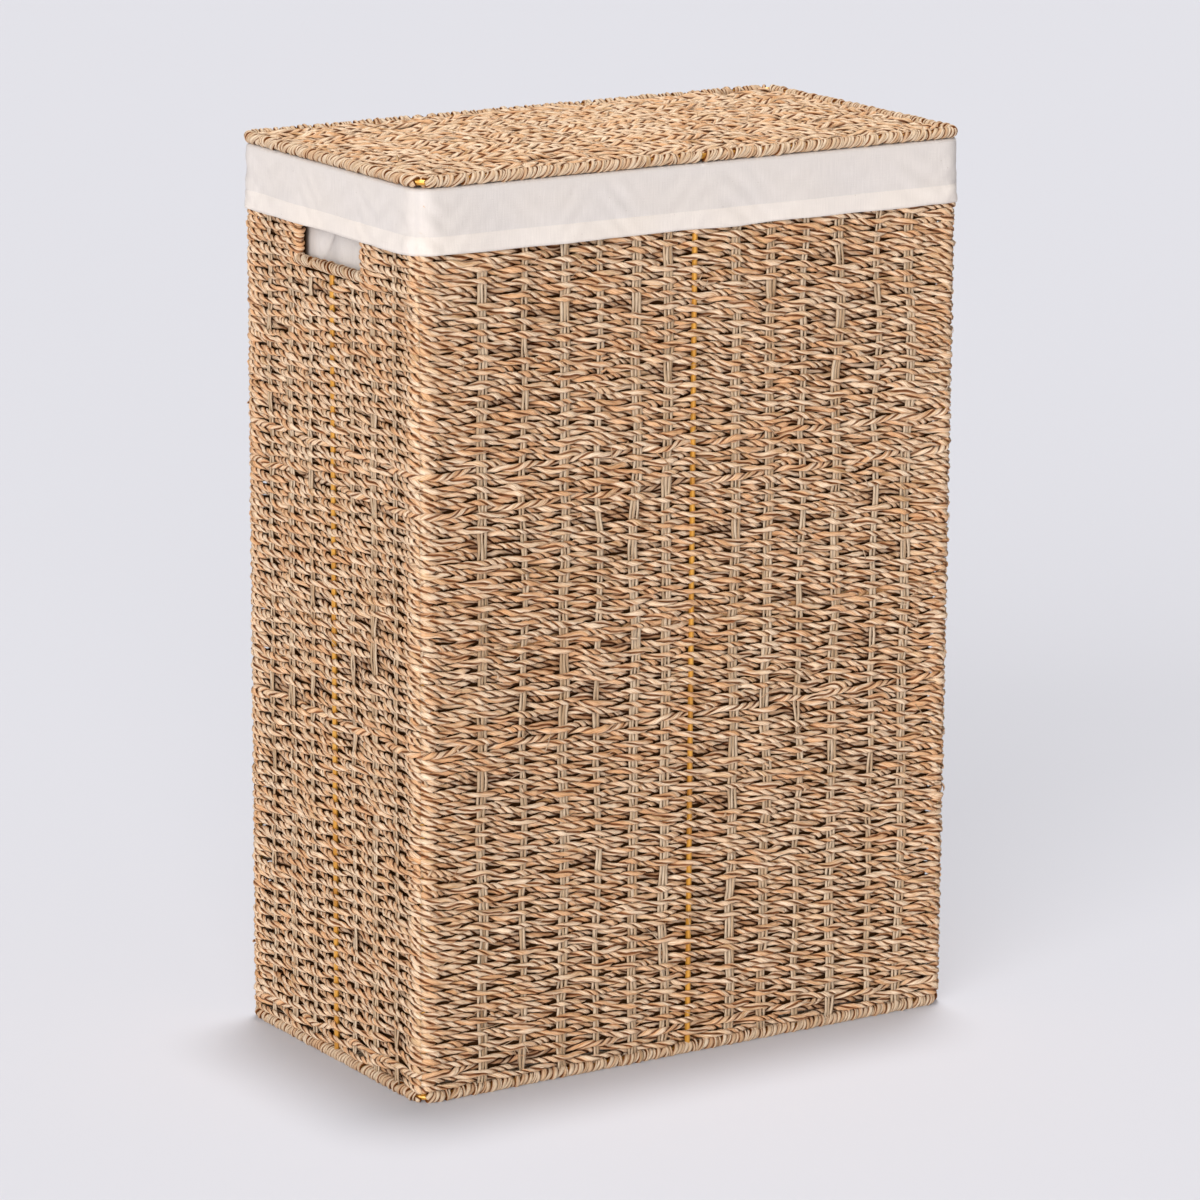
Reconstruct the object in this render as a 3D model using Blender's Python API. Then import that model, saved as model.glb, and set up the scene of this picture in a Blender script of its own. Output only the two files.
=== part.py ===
"""A tall woven seagrass laundry hamper with a flat hinged lid and a cotton liner, in metres, +Z up.

The frame is bent and welded steel wire: three rings, corner and middle posts, a hoop round each handle
hole and two base wires. Seagrass is woven round the posts into four walls and a base, and bound over the
rings. The cotton bag hangs inside and folds over the rim as a cuff. The lid's own wire ring turns in two
seagrass loops at the back. Front is -Y, and the origin is the middle of the footprint on the floor.
"""

import math

import bmesh
import bpy
from mathutils import Matrix, Vector

# Driving dimensions
WIDTH = 0.450  # over the cuff and the lid, along X
DEPTH = 0.246
HEIGHT = 0.650  # to the crown of the lid
GAP = 0.0003  # between pieces that touch
WIRE_R = 0.002
BINDING_R = 0.004  # wrapped seagrass over a ring wire
BEND_R = 0.010  # of the ring wires, at each corner
WEAVE = 0.008  # thickness of a woven wall
CLOTH = 0.0012
CROWN = 0.0033  # rise of the lid's middle over its edge
LID_WEAVE = 0.0064  # thickness of the lid's panel

# Handle hole in each short side
HOLE_HALF = 0.040
HANDLE_Z = 0.5680  # the wrapped bar under the hole
HANDLE_LEG_Y = 0.0465
HANDLE_BEND_R = 0.006
HANDLE_WRAP_R = 0.0044

# The middle ring lies inside the posts
MID_RING_Z = 0.317
MID_RING_IN = 2 * WIRE_R + GAP
MID_BINDING_R = 0.0033

# The cuff
CUFF_BOTTOM_Z = 0.594

# Hinge loops
LOOP_X = 0.140
LOOP_WIDTH = 0.009
LOOP_THICK = 0.0016

# Heights worked out from those
CLEAR_R = WIRE_R + GAP
CHANNEL_R = WIRE_R + 0.00047  # a little wider than a sleeve's bore, so that the two cross cleanly
BASE_RING_Z = BINDING_R
LID_RING_Z = HEIGHT - CROWN - LID_WEAVE / 2
CUFF_TOP_Z = LID_RING_Z - BINDING_R - GAP
TOP_RING_Z = CUFF_TOP_Z - CLOTH - GAP - BINDING_R
WALL_LOW_Z = 2 * BINDING_R + GAP
WALL_HIGH_Z = TOP_RING_Z - BINDING_R - GAP
POST_LOW_Z = BASE_RING_Z + WIRE_R + GAP
POST_HIGH_Z = TOP_RING_Z - WIRE_R - GAP
LONG_WIRE_Z = BASE_RING_Z + 2 * WIRE_R + GAP
LINER_LOW_Z = LONG_WIRE_Z + WIRE_R + 0.0005
RECESS_LOW_Z = HANDLE_Z - HANDLE_WRAP_R - GAP

# Half sizes of the rings' centrelines, and offsets from them
CUFF_OUT = BINDING_R + GAP + CLOTH
RING_X = WIDTH / 2 - CUFF_OUT
RING_Y = DEPTH / 2 - CUFF_OUT
LID_X = WIDTH / 2 - BINDING_R
LID_Y = DEPTH / 2 - BINDING_R
LINER_OUT = -0.0080
LINER_IN = LINER_OUT - CLOTH
POST_IN = BEND_R * (1 - math.sqrt(0.5))  # a corner post stands on the middle of the ring's bend

WIRE_SIDES = 10
BINDING_SIDES = 12
BEND_STEPS = 3  # in an eighth of a turn
CUT_MARGIN = 0.004

SIDES = {"front": 0, "right": 1, "back": 2, "left": 3}  # quarter turns from the front


def clear_scene():
    for old in list(bpy.data.objects):
        bpy.data.objects.remove(old, do_unlink=True)


def material(name, colour, roughness, metallic=0.0):
    made = bpy.data.materials.new(name)
    made.use_nodes = True
    shader = made.node_tree.nodes["Principled BSDF"]
    shader.inputs["Base Color"].default_value = (*colour, 1.0)
    shader.inputs["Roughness"].default_value = roughness
    shader.inputs["Metallic"].default_value = metallic
    made.diffuse_color = (*colour, 1.0)
    return made


def object_of(name, bm, made_of=None):
    """The mesh as an object of its own; a cutter has no material and stays out of the model."""
    bmesh.ops.remove_doubles(bm, verts=bm.verts, dist=1e-7)
    bmesh.ops.recalc_face_normals(bm, faces=bm.faces)
    mesh = bpy.data.meshes.new(name)
    bm.to_mesh(mesh)
    bm.free()
    made = bpy.data.objects.new(name, mesh)
    bpy.context.scene.collection.objects.link(made)
    if made_of is None:
        made.hide_render = True
        made.display_type = "WIRE"
    else:
        mesh.materials.append(made_of)
        mesh.shade_smooth()
        mesh.set_sharp_from_angle(angle=math.radians(35))
    return made


def cut(target, *cutters):
    for cutter in cutters:
        boolean = target.modifiers.new("cut " + cutter.name, "BOOLEAN")
        boolean.operation = "DIFFERENCE"
        boolean.solver = "EXACT"
        boolean.object = cutter


def bridge(bm, sections, closed):
    """Joins equal rings of points into a skin, and closes its ends with flat faces if it isn't a loop."""
    rings = [[bm.verts.new(p) for p in section] for section in sections]
    count = len(rings[0])
    for k in range(len(rings) if closed else len(rings) - 1):
        here, there = rings[k], rings[(k + 1) % len(rings)]
        for i in range(count):
            j = (i + 1) % count
            bm.faces.new((here[i], here[j], there[j], there[i]))
    if not closed:
        bm.faces.new(rings[0])
        bm.faces.new(rings[-1])


def rod(name, points, radius, made_of=None, closed=False, sides=WIRE_SIDES):
    """A round rod along the points, which turn only about one direction."""
    points = [Vector(p) for p in points]
    count = len(points)
    sections = []
    side = None
    for k, here in enumerate(points):
        before = points[k - 1] if closed or k else here
        after = points[(k + 1) % count] if closed or k < count - 1 else here
        along = (after - before).normalized()
        if side is None:
            side = along.orthogonal() if abs(along.z) > 0.9 else along.cross(Vector((0, 0, 1)))
        side = (side - side.dot(along) * along).normalized()
        up = side.cross(along)
        first, second = (here - before), (after - here)
        bend = first.angle(second) / 2 if first.length and second.length else 0.0
        stretch = 1 / math.cos(bend)
        outward = (first.normalized() - second.normalized()).normalized() if bend > 1e-4 else side
        section = []
        for i in range(sides):
            turn = 2 * math.pi * i / sides
            arm = radius * (math.cos(turn) * side + math.sin(turn) * up)
            arm += arm.dot(outward) * (stretch - 1) * outward
            section.append(here + arm)
        sections.append(section)
    bm = bmesh.new()
    bridge(bm, sections, closed)
    return object_of(name, bm, made_of)


def arc(centre, radius, start_deg, end_deg, steps):
    turns = [math.radians(start_deg + (end_deg - start_deg) * k / steps) for k in range(steps + 1)]
    return [(centre[0] + radius * math.cos(t), centre[1] + radius * math.sin(t)) for t in turns]


def rounded_rectangle(half_x, half_y, radius):
    """Its outline, counterclockwise from the middle of the right side's lower corner."""
    corners = ((1, -1, -90), (1, 1, 0), (-1, 1, 90), (-1, -1, 180))
    outline = []
    for sx, sy, start in corners:
        centre = (sx * (half_x - radius), sy * (half_y - radius))
        outline += arc(centre, radius, start, start + 90, 2 * BEND_STEPS)
    return outline


def turned(points, side):
    """Points laid out for the front side, turned to another side."""
    turn = Matrix.Rotation(math.pi / 2 * SIDES[side], 4, "Z")
    return [turn @ Vector(p) for p in points]


def side_halves(side):
    """Half the ring's length along this side, and how far the side is from the middle."""
    return (RING_X, RING_Y) if side in ("front", "back") else (RING_Y, RING_X)


def side_strip(name, side, profile, made_of):
    """A strip of this profile along one side and half way round its two corners.

    The profile's points are (distance outside the ring's centreline, height)."""
    half, away = side_halves(side)
    sections = []
    for end in (-1, 1):
        for step in range(BEND_STEPS + 1):
            share = step / BEND_STEPS if end > 0 else 1 - step / BEND_STEPS
            turn = math.radians(45 * share)
            x, y = end * math.sin(turn), -math.cos(turn)
            mitre = GAP * math.sqrt(0.5) if share == 1 else 0.0
            centre = (end * (half - BEND_R - mitre), -(away - BEND_R))
            section = [
                (centre[0] + x * (BEND_R + out), centre[1] + y * (BEND_R + out), z) for out, z in profile
            ]
            sections.append(turned(section, side))
    bm = bmesh.new()
    bridge(bm, sections, closed=False)
    return object_of(name, bm, made_of)


def slab(name, outline, low, high, made_of=None):
    bm = bmesh.new()
    bridge(bm, [[(x, y, z) for x, y in outline] for z in (low, high)], closed=False)
    return object_of(name, bm, made_of)


def block(name, low, high):
    """A box cutter between two corners."""
    outline = [(low[0], low[1]), (high[0], low[1]), (high[0], high[1]), (low[0], high[1])]
    return slab(name, outline, low[2], high[2])


def binding(name, start, end, outer, made_of):
    """A wrapped sleeve round a ring wire, open at both ends."""
    start, end = Vector(start), Vector(end)
    along = (end - start).normalized()
    side = along.cross(Vector((0, 0, 1)))
    up = side.cross(along)
    sections = []
    for place, radius in ((start, outer), (end, outer), (end, CLEAR_R), (start, CLEAR_R)):
        turns = [2 * math.pi * (i + 0.5) / BINDING_SIDES for i in range(BINDING_SIDES)]
        reach = radius / math.cos(math.pi / BINDING_SIDES)
        sections.append([place + reach * (math.cos(t) * side + math.sin(t) * up) for t in turns])
    bm = bmesh.new()
    bridge(bm, sections, closed=True)
    return object_of(name, bm, made_of)


def side_binding(name, side, centre_half, away, z, outer, made_of, spans=None):
    """Sleeves along the straight run of one side; spans are (suffix, start, end) where it is broken."""
    run = centre_half - BEND_R
    made = []
    for suffix, start, end in spans or [("", -run, run)]:
        ends = turned([(start, -away, z), (end, -away, z)], side)
        made.append(binding(name + suffix, *ends, outer, made_of))
    return made


def loop(name, x, made_of):
    """A flat loop round the lid's rear wire and the basket's rear top wire."""
    low = Vector((0, RING_Y, TOP_RING_Z))
    high = Vector((0, LID_Y, LID_RING_Z))
    lean = math.atan2(high.z - low.z, high.y - low.y)
    sections = []
    for radius, at in (
        (CLEAR_R, -LOOP_WIDTH / 2),
        (CLEAR_R, LOOP_WIDTH / 2),
        (CLEAR_R + LOOP_THICK, LOOP_WIDTH / 2),
        (CLEAR_R + LOOP_THICK, -LOOP_WIDTH / 2),
    ):
        section = []
        for centre, start in ((high, -90), (low, 90)):
            for step in range(9):
                turn = lean + math.radians(start + 180 * step / 8)
                y, z = centre.y + radius * math.cos(turn), centre.z + radius * math.sin(turn)
                section.append((x + at, y, z))
        sections.append(section)
    bm = bmesh.new()
    bridge(bm, sections, closed=True)
    return object_of(name, bm, made_of)


def crown(x, y):
    """How far the lid's panel rises over its edge."""
    half_x, half_y = LID_X - BINDING_R, LID_Y - BINDING_R
    return CROWN * max(0.0, 1 - (x / half_x) ** 2) * max(0.0, 1 - (y / half_y) ** 2)


def lid_panel(made_of):
    """A crowned slab inside the lid's border, built as nested outlines from its edge to its middle."""
    edge = BINDING_R + 0.0005
    half_x, half_y = LID_X - edge, LID_Y - edge
    rims = [rounded_rectangle(half_x * s, half_y * s, (BEND_R - edge) * s) for s in (1, 0.8, 0.55, 0.25)]
    sections = []
    for face in (-1, 1):
        for rim in rims[::face]:
            z = LID_RING_Z + face * LID_WEAVE / 2
            sections.append([(x, y, z + crown(x, y)) for x, y in rim])
    bm = bmesh.new()
    bridge(bm, sections, closed=False)
    return object_of("lid_weave", bm, made_of)


def build_frame(wire):
    """The wire frame. Returns the clearance cutters that go round its pieces, by name."""
    bend_rings = (
        ("base_ring_wire", RING_X, RING_Y, BEND_R, BASE_RING_Z),
        ("mid_ring_wire", RING_X - MID_RING_IN, RING_Y - MID_RING_IN, BEND_R - MID_RING_IN, MID_RING_Z),
        ("top_ring_wire", RING_X, RING_Y, BEND_R, TOP_RING_Z),
    )
    for name, half_x, half_y, radius, z in bend_rings:
        outline = [(x, y, z) for x, y in rounded_rectangle(half_x, half_y, radius)]
        rod(name, outline, WIRE_R, wire, closed=True)

    cutters = {}

    def straight(name, start, end, past_start=0.0, past_end=0.0):
        """A straight wire, and the channel that it needs, which may run past the wire's ends."""
        rod(name, (start, end), WIRE_R, wire)
        along = (Vector(end) - Vector(start)).normalized()
        ends = (Vector(start) - along * past_start, Vector(end) + along * past_end)
        cutters[name] = rod(name + "_channel", ends, CHANNEL_R, sides=16)

    corner_x, corner_y = RING_X - POST_IN, RING_Y - POST_IN
    for end, y in (("front", -corner_y), ("back", corner_y)):
        for hand, x in (("left", -corner_x), ("right", corner_x)):
            name = f"corner_post_{end}_{hand}"
            straight(name, (x, y, POST_LOW_Z), (x, y, POST_HIGH_Z), CUT_MARGIN, CUT_MARGIN)
    for end, y in (("front", -RING_Y), ("back", RING_Y)):
        low, high = (0, y, POST_LOW_Z), (0, y, POST_HIGH_Z)
        straight(f"mid_post_{end}", low, high, WIRE_R, WIRE_R)
    for hand, x in (("left", -RING_X), ("right", RING_X)):
        low, high = (x, 0, POST_LOW_Z), (x, 0, RECESS_LOW_Z)
        straight(f"mid_post_{hand}", low, high, WIRE_R, CUT_MARGIN)
    reach = RING_Y - WIRE_R - GAP
    straight("base_cross_wire", (0, -reach, BASE_RING_Z), (0, reach, BASE_RING_Z), WIRE_R, WIRE_R)
    reach = RING_X - WIRE_R - GAP
    straight("base_long_wire", (-reach, 0, LONG_WIRE_Z), (reach, 0, LONG_WIRE_Z), WIRE_R, WIRE_R)

    for hand, x in (("left", -RING_X), ("right", RING_X)):
        path = [(-HANDLE_LEG_Y, POST_HIGH_Z)]
        low_bend = HANDLE_Z + HANDLE_BEND_R
        bend_y = HANDLE_LEG_Y - HANDLE_BEND_R
        path += arc((-bend_y, low_bend), HANDLE_BEND_R, 180, 270, 5)
        path += arc((bend_y, low_bend), HANDLE_BEND_R, 270, 360, 5)
        path += [(HANDLE_LEG_Y, POST_HIGH_Z)]
        rod(f"handle_wire_{hand}", [(x, y, z) for y, z in path], WIRE_R, wire)
        for end, y in (("front", -HANDLE_LEG_Y), ("back", HANDLE_LEG_Y)):
            name = f"handle_leg_{hand}_{end}"
            leg = ((x, y, HANDLE_Z), (x, y, POST_HIGH_Z + WIRE_R))
            cutters[name] = rod(name + "_channel", leg, CHANNEL_R, sides=16)
    return cutters


def build_walls(grass, cutters):
    half = WEAVE / 2
    profile = [(-half, WALL_LOW_Z), (half, WALL_LOW_Z), (half, WALL_HIGH_Z), (-half, WALL_HIGH_Z)]
    groove_out = MID_BINDING_R - MID_RING_IN + GAP
    groove_half = MID_BINDING_R + GAP
    for side in SIDES:
        wall = side_strip(f"weave_{side}", side, profile, grass)
        length, away = side_halves(side)
        groove = [
            (-length - CUT_MARGIN, -away - groove_out),
            (length + CUT_MARGIN, -away - groove_out),
            (length + CUT_MARGIN, -away + half + CUT_MARGIN),
            (-length - CUT_MARGIN, -away + half + CUT_MARGIN),
        ]
        outline = [tuple(p)[:2] for p in turned([(x, y, 0) for x, y in groove], side)]
        low, high = MID_RING_Z - groove_half, MID_RING_Z + groove_half
        cut(wall, cutters[f"mid_post_{side}"], slab(f"{side}_groove", outline, low, high))
        if side in ("front", "back"):
            posts = [f"corner_post_{side}_left", f"corner_post_{side}_right"]
        else:
            posts = [f"corner_post_front_{side}", f"corner_post_back_{side}"]
            x = RING_X if side == "right" else -RING_X
            recess_half = HANDLE_LEG_Y + CLEAR_R + GAP
            bend_top = HANDLE_Z + HANDLE_BEND_R + GAP
            cut(
                wall,
                cutters[f"handle_leg_{side}_front"],
                cutters[f"handle_leg_{side}_back"],
                cutters["base_long_wire"],
                block(f"{side}_hole", (x - 0.01, -HOLE_HALF, HANDLE_Z), (x + 0.01, HOLE_HALF, HEIGHT)),
                block(
                    f"{side}_recess",
                    (x - 0.01, -recess_half, RECESS_LOW_Z),
                    (x + 0.01, recess_half, bend_top),
                ),
            )
        cut(wall, *(cutters[p] for p in posts))


def build_base(grass, cutters):
    edge = BINDING_R + GAP
    outline = rounded_rectangle(RING_X - edge, RING_Y - edge, BEND_R - edge)
    panel = slab("weave_base", outline, 0.0, WEAVE, grass)
    cut(panel, cutters["base_cross_wire"], cutters["base_long_wire"])


def build_bindings(grass, cutters):
    """Seagrass wrapped round the straight runs of the three rings and the two handle bars."""
    loop_half = LOOP_WIDTH / 2 + 0.0005
    run = RING_X - BEND_R
    broken = [
        ("_right", -run, -LOOP_X - loop_half),
        ("_middle", -LOOP_X + loop_half, LOOP_X - loop_half),
        ("_left", LOOP_X + loop_half, run),
    ]
    for side in SIDES:
        half, away = side_halves(side)
        post = cutters[f"mid_post_{side}"]
        base_wire = cutters["base_cross_wire" if side in ("front", "back") else "base_long_wire"]
        for sleeve in side_binding(f"base_binding_{side}", side, half, away, BASE_RING_Z, BINDING_R, grass):
            cut(sleeve, post, base_wire)
        mid = side_binding(
            f"mid_binding_{side}",
            side,
            half,
            away - MID_RING_IN,
            MID_RING_Z,
            MID_BINDING_R,
            grass,
        )
        cut(mid[0], post)
        spans = broken if side == "back" else None
        top = side_binding(f"top_binding_{side}", side, half, away, TOP_RING_Z, BINDING_R, grass, spans)
        if side in ("left", "right"):
            cut(top[0], cutters[f"handle_leg_{side}_front"], cutters[f"handle_leg_{side}_back"])
            x = RING_X if side == "right" else -RING_X
            bar = HANDLE_LEG_Y - HANDLE_BEND_R
            ends = ((x, -bar, HANDLE_Z), (x, bar, HANDLE_Z))
            binding(f"handle_wrap_{side}", *ends, HANDLE_WRAP_R, grass)
        else:
            cut(top[len(top) // 2], post)


def build_liner(cotton):
    """A sewn bag of four side panels and a bottom, and the cuff that folds out over the rim."""
    high = CUFF_TOP_Z - CLOTH - GAP
    wall = [(LINER_IN, LINER_LOW_Z), (LINER_OUT, LINER_LOW_Z), (LINER_OUT, high), (LINER_IN, high)]
    cuff = [
        (LINER_IN, CUFF_TOP_Z - CLOTH),
        (CUFF_OUT - CLOTH, CUFF_TOP_Z - CLOTH),
        (CUFF_OUT - CLOTH, CUFF_BOTTOM_Z),
        (CUFF_OUT, CUFF_BOTTOM_Z),
        (CUFF_OUT, CUFF_TOP_Z),
        (LINER_IN, CUFF_TOP_Z),
    ]
    for side in SIDES:
        side_strip(f"liner_{side}", side, wall, cotton)
        folded = side_strip(f"cuff_{side}", side, cuff, cotton)
        if side == "back":
            for hand, x in (("left", -LOOP_X), ("right", LOOP_X)):
                slit_half = LOOP_WIDTH / 2 + 0.001
                low = (x - slit_half, RING_Y - 0.0050, TOP_RING_Z)
                high_corner = (x + slit_half, RING_Y + 0.0100, LID_RING_Z)
                cut(folded, block(f"slit_{hand}", low, high_corner))
    inset = -LINER_IN + GAP
    outline = rounded_rectangle(RING_X - inset, RING_Y - inset, 0.0005)
    slab("liner_bottom", outline, LINER_LOW_Z, LINER_LOW_Z + CLOTH, cotton)


def build_lid(wire, grass):
    """The lid, whose rear wire is the hinge's axis."""
    hinge = bpy.data.objects.new("lid_hinge", None)
    hinge.location = (0, LID_Y, LID_RING_Z)
    bpy.context.scene.collection.objects.link(hinge)
    outline = [(x, y, LID_RING_Z) for x, y in rounded_rectangle(LID_X, LID_Y, BEND_R)]
    pieces = [rod("lid_ring_wire", outline, WIRE_R, wire, closed=True)]

    reach = LID_Y - WIRE_R - GAP
    steps = 8
    ys = [reach * (2 * k / steps - 1) for k in range(steps + 1)]
    arch = [(0, y, LID_RING_Z + crown(0, y)) for y in ys]
    pieces.append(rod("lid_cross_wire", arch, WIRE_R, wire))
    channel = rod("lid_cross_channel", [(0, -LID_Y, LID_RING_Z), *arch, (0, LID_Y, LID_RING_Z)], CHANNEL_R)
    panel = lid_panel(grass)
    cut(panel, channel)
    pieces.append(panel)

    loop_half = LOOP_WIDTH / 2 + 0.0005
    run = LID_X - BEND_R
    broken = [
        ("_right", -run, -LOOP_X - loop_half),
        ("_middle", -LOOP_X + loop_half, LOOP_X - loop_half),
        ("_left", LOOP_X + loop_half, run),
    ]
    for side in SIDES:
        long_side = side in ("front", "back")
        half, away = (LID_X, LID_Y) if long_side else (LID_Y, LID_X)
        spans = broken if side == "back" else None
        name = f"lid_binding_{side}"
        made = side_binding(name, side, half, away, LID_RING_Z, BINDING_R, grass, spans)
        if long_side:
            cut(made[len(made) // 2], channel)
        pieces += made
    for piece in pieces:
        piece.parent = hinge
        piece.matrix_parent_inverse = Matrix.Translation(-hinge.location)


def main():
    clear_scene()
    wire = material("gold_wire", (0.62, 0.33, 0.05), 0.35, 0.6)
    grass = material("seagrass", (0.50, 0.34, 0.19), 0.75)
    cotton = material("cream_cotton", (0.82, 0.79, 0.75), 0.9)
    cutters = build_frame(wire)
    build_walls(grass, cutters)
    build_base(grass, cutters)
    build_bindings(grass, cutters)
    build_liner(cotton)
    build_lid(wire, grass)
    for hand, x in (("left", -LOOP_X), ("right", LOOP_X)):
        loop(f"hinge_loop_{hand}", x, grass)


main()
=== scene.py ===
"""Looks for the seagrass laundry hamper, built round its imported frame.

Every cord is modelled: walls, base and lid are woven row by row over flat stakes and the frame's wires,
the rings and handle bars are wound with strands, and a cotton bag hangs inside and folds over the rim.
"""

import math

import bpy
import numpy as np
from mathutils import Matrix, Vector


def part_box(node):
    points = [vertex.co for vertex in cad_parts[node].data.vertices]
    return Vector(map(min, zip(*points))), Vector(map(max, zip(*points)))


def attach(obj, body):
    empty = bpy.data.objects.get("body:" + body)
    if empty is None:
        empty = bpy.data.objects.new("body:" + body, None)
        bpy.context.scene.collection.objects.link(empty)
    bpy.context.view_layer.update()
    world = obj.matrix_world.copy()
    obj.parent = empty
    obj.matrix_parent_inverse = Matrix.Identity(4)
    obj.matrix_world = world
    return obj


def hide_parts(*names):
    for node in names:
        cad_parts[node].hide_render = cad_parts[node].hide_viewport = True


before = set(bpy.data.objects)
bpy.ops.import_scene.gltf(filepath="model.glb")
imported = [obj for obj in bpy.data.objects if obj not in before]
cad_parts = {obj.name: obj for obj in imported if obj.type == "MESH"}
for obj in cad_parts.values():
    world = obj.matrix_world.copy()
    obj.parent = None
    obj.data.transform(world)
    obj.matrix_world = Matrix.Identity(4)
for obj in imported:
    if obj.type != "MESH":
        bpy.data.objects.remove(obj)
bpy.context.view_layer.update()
rng = np.random.default_rng(403)

# Sizes that the frame gives
low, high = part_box("top_ring_wire")
WIRE_R = (high.z - low.z) / 2
RING_X, RING_Y, TOP_Z = high.x - WIRE_R, high.y - WIRE_R, (high.z + low.z) / 2
low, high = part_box("base_ring_wire")
BASE_Z = (high.z + low.z) / 2
low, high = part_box("mid_ring_wire")
MID_X, MID_Y, MID_Z = high.x - WIRE_R, high.y - WIRE_R, (high.z + low.z) / 2
low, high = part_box("lid_ring_wire")
LID_X, LID_Y, LID_Z = high.x - WIRE_R, high.y - WIRE_R, (high.z + low.z) / 2
low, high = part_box("handle_wire_left")
LEG_Y, BAR_Z = high.y - WIRE_R, low.z + WIRE_R
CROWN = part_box("lid_cross_wire")[1].z - WIRE_R - LID_Z
WALL_LOW, WALL_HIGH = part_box("weave_front")[0].z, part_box("weave_front")[1].z
CUFF_LOW, CUFF_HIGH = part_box("cuff_front")[0].z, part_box("cuff_front")[1].z
LOOP_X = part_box("hinge_loop_right")[0].x / 2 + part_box("hinge_loop_right")[1].x / 2
FLOOR_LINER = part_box("liner_bottom")[0].z
BEND = 0.010  # of the rings' centrelines

# Room for the hinge loops, as half widths about a loop's middle
WINDING_GAP = 0.0052  # where a winding stops and starts again
SLIT = 0.0063  # of the slit in the cuff
STRAND_END = 0.0019  # how much further a winding's last strand stays away

# The weave
CORD_IN, CORD_WIDE, CORD_THICK = 0.00120, 0.00192, 0.00132  # a ply's place in its cord, and its half sizes
DEPTH = 0.88  # a cord's size through the wall, for one of 1 along it
CREASE = 0.10
SWING = 0.0024  # how far a row's middle moves in and out of the wall
TWIST = (0.0235, 0.019, 0.0235, 0.019)  # a full turn of a cord's two plies, on each side
BEND_TWIST, BEND_REACH = 0.14, 0.012  # what a bend adds to the turns, and how far from it
LID_TWIST = 0.0225
STEP = 0.0019
PLY_SIDES = 7
FRONT_STAKES = (
    -0.1715, -0.1385, -0.1055, -0.078, -0.048, -0.022, 0,
    0.035, 0.063, 0.091, 0.1205, 0.154, 0.1815,
)
SIDE_STAKES = (-0.086, -0.0573, -0.0287, 0, 0.0287, 0.0573, 0.086)
BESIDE_BEND = 0.016
SIDES = ("front", "right", "back", "left")


class Pile:
    """Points and faces of many strands, gathered into one mesh."""

    def __init__(self):
        self.points, self.grain, self.seed, self.depth = [], [], [], []
        self.quads, self.caps, self.count = [], [], 0

    def tube(self, rings, along, seed, closed=False, depth=0.0):
        """rings is (places, points round each, 3), and along how far each ring is down the strand.
        depth is how far out of the middle of its wall or panel each point is; the materials paint shade from
        it."""
        n, m = rings.shape[:2]
        index = self.count + np.arange(n * m).reshape(n, m)
        here, there = (index, np.roll(index, -1, 0)) if closed else (index[:-1], index[1:])
        around = np.roll(here, -1, 1), np.roll(there, -1, 1)
        self.quads.append(np.stack([here, around[0], around[1], there], -1).reshape(-1, 4))
        if not closed:
            self.caps += [index[0, ::-1], index[-1]]
        turn = np.arange(m) * 2 * np.pi / m
        grain = np.empty((n, m, 3))
        grain[..., 0], grain[..., 1], grain[..., 2] = np.asarray(along)[:, None], np.cos(turn), np.sin(turn)
        self.points.append(rings.reshape(-1, 3))
        self.grain.append(grain.reshape(-1, 3))
        self.seed.append(np.full(n * m, seed))
        self.depth.append(np.broadcast_to(depth, (n, m)).ravel())
        self.count += n * m

    def object(self, name, material, body, slot, replaces=()):
        quads = np.concatenate(self.quads)
        loops = np.concatenate([quads.ravel(), *self.caps]) if self.caps else quads.ravel()
        sizes = np.concatenate([np.full(len(quads), 4), [len(c) for c in self.caps]]).astype(np.int32)
        return mesh_piece(
            name, np.concatenate(self.points), loops, sizes, material, body, slot, replaces,
            grain=np.concatenate(self.grain), seed=np.concatenate(self.seed),
            depth=np.concatenate(self.depth),
        )


def mesh_piece(name, points, loops, sizes, material, body, slot, replaces=(), **attributes):
    """An object from points and faces. What would sink into the floor is pressed flat on it."""
    points[:, 2] = np.maximum(points[:, 2], 0.0001)
    mesh = bpy.data.meshes.new(name)
    mesh.vertices.add(len(points))
    mesh.vertices.foreach_set("co", points.astype(np.float32).ravel())
    mesh.loops.add(len(loops))
    mesh.loops.foreach_set("vertex_index", loops.astype(np.int32))
    mesh.polygons.add(len(sizes))
    mesh.polygons.foreach_set("loop_start", (np.cumsum(sizes) - sizes).astype(np.int32))
    mesh.update(calc_edges=True)
    mesh.shade_smooth()
    for key, values in attributes.items():
        kind, field = ("FLOAT_VECTOR", "vector") if values.ndim == 2 else ("FLOAT", "value")
        mesh.attributes.new(key, kind, "POINT").data.foreach_set(field, values.astype(np.float32).ravel())
    mesh.materials.append(material)
    made = bpy.data.objects.new(name, mesh)
    bpy.context.scene.collection.objects.link(made)
    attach(made, body)
    if replaces:
        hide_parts(*replaces)
    return made


class Wobble:
    """Smooth noise of unit size along a line. It closes up after the line's length, and changes from row
    to row."""

    def __init__(self, length, wavelength, drift=9.0, waves=7):
        self.turns = np.maximum(1, np.round(rng.uniform(0.5, 1.7, waves) * length / wavelength))
        self.start, self.drift = rng.uniform(0, 2 * np.pi, waves), rng.normal(0, drift, waves)
        weight = rng.uniform(0.5, 1, waves)
        self.weight, self.length = weight / np.sqrt((weight**2).sum() / 2), length

    def __call__(self, s, row=0.0):
        phase = np.multiply.outer(np.asarray(s, float), self.turns) * 2 * np.pi / self.length
        return np.cos(phase + self.start + self.drift * row) @ self.weight


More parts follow.
